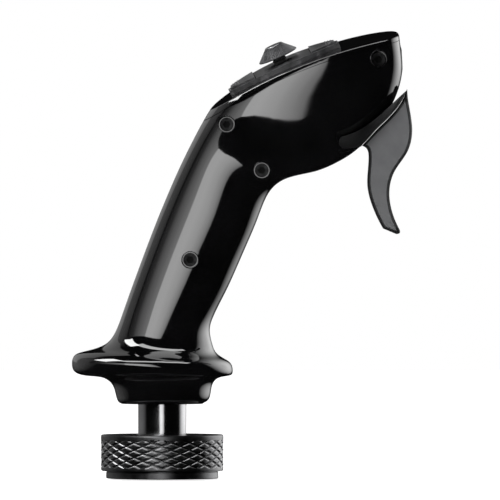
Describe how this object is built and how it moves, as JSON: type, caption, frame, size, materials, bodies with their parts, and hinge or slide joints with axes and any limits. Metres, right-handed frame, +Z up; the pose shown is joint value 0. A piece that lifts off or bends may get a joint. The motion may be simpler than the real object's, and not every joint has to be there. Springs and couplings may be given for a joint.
{
  "type": "flight joystick grip",
  "caption": "Flight-stick grip with gloss shells, hand-rest flange, hat switch, ribbed buttons, curved trigger, steel shaft and knurled coupling ring.",
  "frame": {"origin": "centre of the coupling ring's lower face, on the axis of its thread", "axes": "+Z up along the shaft, +X forward towards the trigger, +Y to the pilot's left"},
  "size_m": [0.136, 0.0582, 0.1792],
  "materials": {
    "gloss_black": "high gloss moulded",
    "satin_black": "fine satin moulded",
    "fork_black": "fine matte moulded",
    "black_steel": "black oxide",
    "brass": "turned",
    "polished_steel": "polished",
    "cast_aluminium": "bead blasted",
    "black_anodised": "black anodised, knurled",
    "dark_metal": "dark anodised, ribbed",
    "grey_metal": "grey anodised, bead blasted",
    "zinc_steel": "zinc plated",
    "insulator": "moulded",
    "gold_contacts": "gold plated",
    "nylon": "natural nylon",
    "circuit_board": "solder mask",
    "cable_sleeve": "soft sleeve",
    "black_rubber": "moulded rubber"
  },
  "bodies": {
    "grip": {"shell_right": "gloss_black", "shell_left": "gloss_black", "top_cover": "gloss_black", "shell_screws": "black_steel", "shell_inserts": "brass", "main_shaft": "polished_steel", "neck_clamp": "cast_aluminium", "clamp_screw": "black_steel", "connector_hub": "cast_aluminium", "hub_sleeve": "cast_aluminium", "connector_insulator": "insulator", "connector_contacts": "gold_contacts", "harness": "cable_sleeve", "main_board": "circuit_board", "board_screws": "zinc_steel", "board_parts": "insulator", "control_panel": "satin_black", "panel_screws": "zinc_steel", "panel_board": "circuit_board", "button_switches": "insulator", "hat_base": "insulator", "hat_contacts": "gold_contacts", "trigger_spring": "zinc_steel", "trigger_switch": "insulator"},
    "washer": {"slip_washer": "nylon"},
    "ring": {"coupling_ring": "black_anodised"},
    "gimbal": {"hat_gimbal": "cast_aluminium"},
    "hat": {"hat_cap": "dark_metal", "hat_stem": "zinc_steel", "hat_boot": "black_rubber"},
    "rear_key": {"rear_button": "satin_black"},
    "front_key": {"front_button": "satin_black"},
    "trigger": {"trigger_blade": "grey_metal", "trigger_fork": "fork_black", "trigger_pin": "zinc_steel", "trigger_cam": "insulator"}
  },
  "joints": [
    {"name": "ring_lift", "type": "slide", "parent": "grip", "child": "washer", "axis": [0, 0, 1], "range_m": [0, 0.012]},
    {"name": "ring_spin", "type": "hinge", "parent": "washer", "child": "ring", "pos_m": [0, 0, 0], "axis": [0, 0, 1], "continuous": true},
    {"name": "hat_roll", "type": "hinge", "parent": "grip", "child": "gimbal", "pos_m": [0.05072, 0.00075, 0.15903], "axis": [0.9126, -0.005, 0.4088], "range_deg": [-10, 10], "stiffness_Nm_per_rad": 0.02},
    {"name": "hat_pitch", "type": "hinge", "parent": "gimbal", "child": "hat", "pos_m": [0.05072, 0.00075, 0.15903], "axis": [-0.0453, 0.9925, 0.1132], "range_deg": [-10, 10], "stiffness_Nm_per_rad": 0.02},
    {"name": "rear_press", "type": "slide", "parent": "grip", "child": "rear_key", "axis": [0.4064, 0.1218, -0.9056], "range_m": [0, 0.0009], "stiffness_N_per_m": 700, "springref_m": -0.0006},
    {"name": "front_press", "type": "slide", "parent": "grip", "child": "front_key", "axis": [0.4064, 0.1218, -0.9056], "range_m": [0, 0.0009], "stiffness_N_per_m": 700, "springref_m": -0.0006},
    {"name": "trigger_pull", "type": "hinge", "parent": "grip", "child": "trigger", "pos_m": [0.0733, 0, 0.1343], "axis": [0, 1, 0], "range_deg": [0, 7], "stiffness_Nm_per_rad": 0.5, "springref_deg": -17.19}
  ]
}
